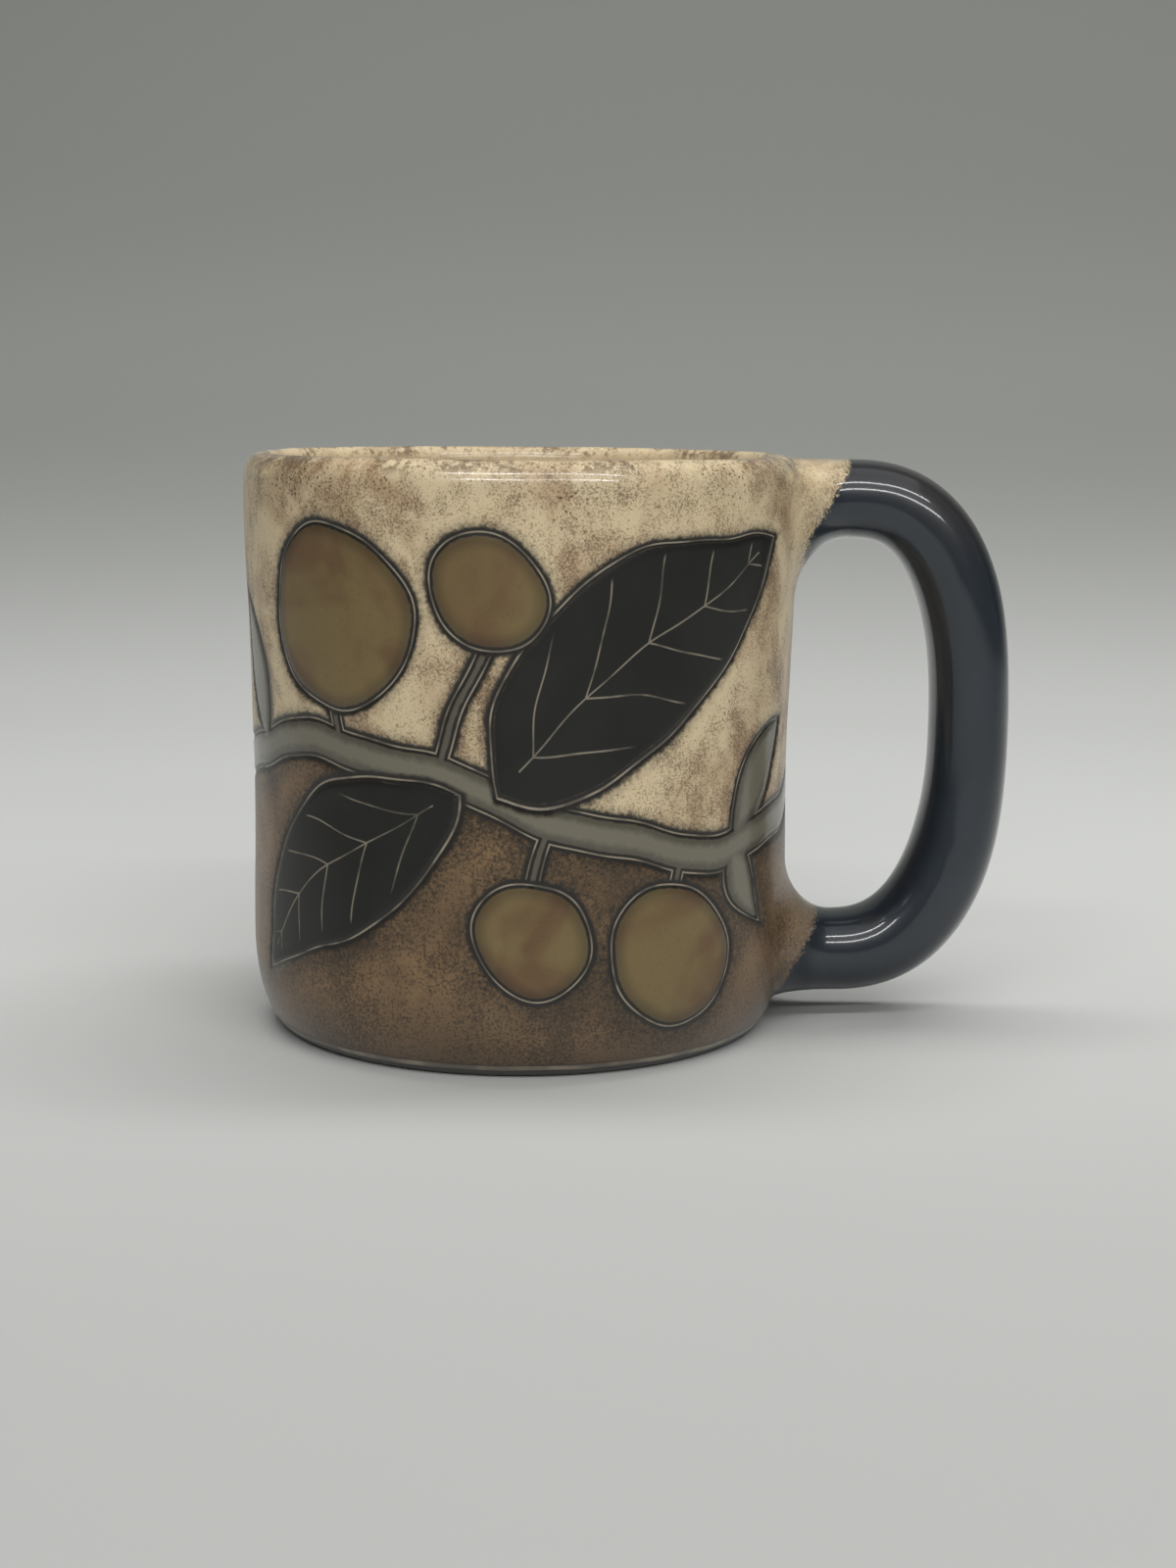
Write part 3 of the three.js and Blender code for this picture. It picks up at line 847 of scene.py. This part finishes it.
class MUG_OT_collars(bpy.types.Operator):
    """The two flared collars that carry the handle's roots into the wall"""
    bl_idname = "mug.collars"
    bl_label = "Handle Collars"

    def execute(self, context):
        cup, handle, ornament, colours, _ = settings(context)
        glaze = collar_glaze(cup, handle, ornament, colours)
        for name, is_upper in (("upper", True), ("lower", False)):
            collar = self.model(cup, handle, collar_form(cup, handle, is_upper))
            hand_over(collar, f"{name}_collar", f"{name}_handle_collar", f"{name}_collar_glaze", glaze)
        return {"FINISHED"}

    def model(self, cup, handle, form):
        """Extrudes an oval out through the bore, over the lip and back along the fillet to the wall."""
        rings = self.rings(handle, form)
        curve = oval(rings[0][2], rings[0][3])
        curve.rotation_euler = (math.pi / 2, 0.0, math.pi / 2)
        curve.location = (rings[0][0], 0.0, rings[0][1])
        bpy.ops.object.transform_apply(location=True, rotation=True, scale=True)
        bpy.ops.object.convert(target="MESH")
        bpy.ops.object.mode_set(mode="EDIT")
        bpy.ops.mesh.select_all(action="SELECT")
        for (x, z, width, height), (to_x, to_z, to_width, to_height) in zip(rings, rings[1:]):
            bpy.ops.mesh.extrude_region_move(TRANSFORM_OT_translate={"value": (to_x - x, 0.0, to_z - z)})
            bpy.ops.transform.resize(
                value=(1.0, to_width / width, to_height / height), center_override=(to_x, 0.0, to_z))
        bpy.ops.mesh.select_all(action="DESELECT")
        bpy.ops.mesh.select_mode(type="EDGE")
        bpy.ops.mesh.select_non_manifold(extend=False)
        bpy.ops.mesh.bridge_edge_loops()
        close_mesh()
        collar = bpy.context.object
        self.lay_on_wall(collar, cup, handle, form)
        return collar

    def rings(self, handle, form):
        """(x, middle height, half width, half height) of each ring, from the bore's start to the wall."""
        width, height = form.half_width, form.half_height
        end = form.root_x + handle.collar
        start = (form.root_x, form.root_z, width - handle.lip, height - handle.lip)
        rings = [start, (end, *start[1:])]
        for angle in np.linspace(math.pi / 2, 0.0, FILLET_STEPS):
            flare = 1.0 - math.sin(angle)
            rings.append((
                form.root_x + handle.collar * (1.0 - math.cos(angle)),
                form.root_z + flare * (form.up - form.down) / 2,
                width + flare * handle.side_flare,
                height + flare * (form.up + form.down) / 2))
        return rings

    def lay_on_wall(self, collar, cup, handle, form):
        """Bends the flat collar round the wall, less and less towards its end."""
        places = vertex_places(collar)
        x, y, z = places.T
        share = 1.0 - np.clip((x - form.root_x) / handle.collar, 0.0, 1.0)
        wall_x = np.sqrt(outer_radius(cup, z) ** 2 - y ** 2)
        places[:, 0] += (wall_x - form.root_x) * share
        collar.data.vertices.foreach_set("co", places.ravel())
        collar.data.update()


class MUG_OT_handle(bpy.types.Operator):
    """The pulled loop handle with a slimmer root in each collar"""
    bl_idname = "mug.handle"
    bl_label = "Handle"

    def execute(self, context):
        cup, handle, _, colours, _ = settings(context)
        section = oval(handle.width / 2, mean_thickness(handle) / 2)
        deselect()
        bpy.ops.curve.primitive_nurbs_path_add()
        loop = context.object
        points, radii = self.path(cup, handle)
        loop.data.splines.clear()
        spline = loop.data.splines.new("POLY")
        spline.points.add(len(points) - 1)
        for point, (x, z), radius in zip(spline.points, points, radii):
            point.co = (x, 0.0, z, 1.0)
            point.radius = radius
        loop.data.bevel_mode = "OBJECT"
        loop.data.bevel_object = section
        loop.data.use_fill_caps = True
        bpy.ops.object.convert(target="MESH")
        bpy.data.objects.remove(section)
        bpy.ops.object.mode_set(mode="EDIT")
        close_mesh()
        x = vertex_places(loop)[:, 0]
        free = eased(x, cup.top_radius + handle.collar, cup.top_radius + handle.collar * 1.8)
        displace(loop, "hand", free, handle.wobble, 0.5, hand_texture(0.02))
        hand_over(loop, "loop_handle", "handle", "blue_black_glaze", handle_glaze(cup, handle, colours))
        return {"FINISHED"}

    def path(self, cup, handle):
        """Points of the whole centreline in the XZ plane, with a slimmer root inside each collar."""
        points, size = handle_path(cup, handle)
        (upper_x, upper_z), (lower_x, lower_z) = upper_root(cup, handle), lower_root(cup, handle)
        slim = 1.0 - 2 * (handle.lip + cup.slip) / mean_thickness(handle)
        step = 1e-5
        upper = [(upper_x + cup.slip, upper_z), (upper_x + handle.collar - step, upper_z)]
        lower = [(lower_x + handle.collar - step, lower_z), (lower_x + cup.slip, lower_z)]
        return [*upper, *points, *lower], [slim, slim, *size, slim, slim]


class MUG_OT_stage(bpy.types.Operator):
    """The pale paper sweep, the studio lights and the camera"""
    bl_idname = "mug.stage"
    bl_label = "Stage"

    def execute(self, context):
        stage = context.scene.mug_stage
        self.sweep(stage)
        self.lights(stage)
        self.sky(context, stage)
        self.camera(context, stage)
        context.scene.view_settings.view_transform = "Standard"
        return {"FINISHED"}

    def sweep(self, stage):
        """A sheet of paper under the mug that curves up behind it."""
        deselect()
        bpy.ops.mesh.primitive_plane_add(size=PAPER_WIDTH, location=(0.0, PAPER_MIDDLE, 0.0))
        paper = bpy.context.object
        bpy.ops.object.transform_apply(location=True)
        bpy.ops.object.mode_set(mode="EDIT")
        bpy.ops.mesh.select_mode(type="EDGE")
        bpy.ops.mesh.select_all(action="DESELECT")
        bpy.ops.object.mode_set(mode="OBJECT")
        for edge in paper.data.edges:
            edge.select = all(paper.data.vertices[v].co.y > 0.5 for v in edge.vertices)
        bpy.ops.object.mode_set(mode="EDIT")
        bpy.ops.mesh.extrude_region_move(TRANSFORM_OT_translate={"value": (0.0, 0.0, PAPER_RISE)})
        bpy.ops.object.mode_set(mode="OBJECT")
        for edge in paper.data.edges:
            ends = [paper.data.vertices[v].co for v in edge.vertices]
            edge.select = all(end.y > 0.5 and end.z < 0.5 for end in ends)
        bpy.ops.object.mode_set(mode="EDIT")
        bpy.ops.mesh.bevel(offset=PAPER_BEND, segments=24, affect="EDGES")
        bpy.ops.object.mode_set(mode="OBJECT")
        bpy.ops.object.shade_smooth()
        paper.name = "paper_sweep"
        paper.data.materials.append(self.paper(stage))

    def paper(self, stage):
        material, place, (_, y, z) = new_glaze("paper")
        along = y + z
        # Painted light and shade: the tones from the floor in front, past the mug, up the backdrop to its
        # top stand in for the light's fall-off
        base = tinted(eased(along, -0.25, 0.2), stage.floor, stage.far_floor)
        base = tinted(eased(along, 0.36, 0.72), base, stage.backdrop)
        base = tinted(eased(along, 0.74, 0.9), base, stage.top)
        return fire(material, base, 0.85 + 0.05 * noise(place, 0.01), noise(place, 0.001), 0.00001)

    def lights(self, stage):
        """A key light and a broad panel overhead, and two long strips in front of the mug."""
        for lamp in LAMPS:
            rise = math.radians(lamp.elevation)
            place = LAMP_CENTRE + Vector((0.0, -math.cos(rise), math.sin(rise)))
            light = self.area(lamp.name, place, (LAMP_LENGTH, lamp.width), stage.light_power * lamp.share)
            light.visible_camera = False
            light.visible_glossy = lamp.name != "key"

    def area(self, name, place, size, power):
        """A rectangular lamp that faces the mug, its long side along X."""
        deselect()
        bpy.ops.object.light_add(type="AREA", location=place)
        lamp = bpy.context.object
        lamp.name = name
        lamp.data.shape = "RECTANGLE"
        lamp.data.size, lamp.data.size_y = size
        lamp.data.energy = power
        back = (place - Vector((place.x, 0.0, LAMP_AIM))).normalized()
        side = Vector((1.0, 0.0, 0.0))
        lamp.rotation_euler = Matrix((side, back.cross(side), back)).transposed().to_euler()
        return lamp

    def sky(self, context, stage):
        world = bpy.data.worlds.new("studio")
        world.use_nodes = True
        shade = world.node_tree.nodes["Background"].inputs
        shade["Color"].default_value = (1.0, 0.99, 0.97, 1.0)
        shade["Strength"].default_value = stage.sky
        context.scene.world = world

    def camera(self, context, stage):
        deselect()
        bpy.ops.object.camera_add(location=stage.camera_place)
        camera = context.object
        pitch, roll, yaw = stage.camera_turn
        level = Euler((math.pi / 2 - pitch, 0.0, -yaw)).to_matrix()
        camera.rotation_euler = (level @ Matrix.Rotation(roll, 3, "Z")).to_euler()
        camera.data.sensor_width = 36.0
        camera.data.lens = stage.lens
        camera.data.clip_start = 0.01
        context.scene.camera = camera


class MUG_PT_sidebar(bpy.types.Panel):
    """The mug's pieces and settings"""
    bl_label = "Stoneware Mug"
    bl_idname = "MUG_PT_sidebar"
    bl_space_type = "VIEW_3D"
    bl_region_type = "UI"
    bl_category = "Mug"

    def draw(self, context):
        for operator in OPERATORS:
            self.layout.operator(operator.bl_idname)
        for group in settings(context):
            box = self.layout.box()
            for name in group.bl_rna.properties.keys():
                if name not in ("rna_type", "name"):
                    box.prop(group, name)


GROUPS = {
    "mug_cup": CupSizes, "mug_handle": HandleSizes, "mug_ornament": OrnamentSizes,
    "mug_colours": GlazeColours, "mug_stage": StageSettings,
}
OPERATORS = (MUG_OT_wall, MUG_OT_floor, MUG_OT_coil, MUG_OT_collars, MUG_OT_handle, MUG_OT_stage)


def register():
    for group in (*GROUPS.values(), *OPERATORS, MUG_PT_sidebar):
        bpy.utils.register_class(group)
    for name, group in GROUPS.items():
        setattr(bpy.types.Scene, name, bpy.props.PointerProperty(type=group))


def unregister():
    for name in GROUPS:
        delattr(bpy.types.Scene, name)
    for group in reversed((*GROUPS.values(), *OPERATORS, MUG_PT_sidebar)):
        bpy.utils.unregister_class(group)


def main():
    register()
    bpy.ops.mug.wall()
    bpy.ops.mug.floor()
    bpy.ops.mug.coil()
    bpy.ops.mug.collars()
    bpy.ops.mug.handle()
    bpy.ops.mug.stage()


if __name__ == "__main__":
    main()
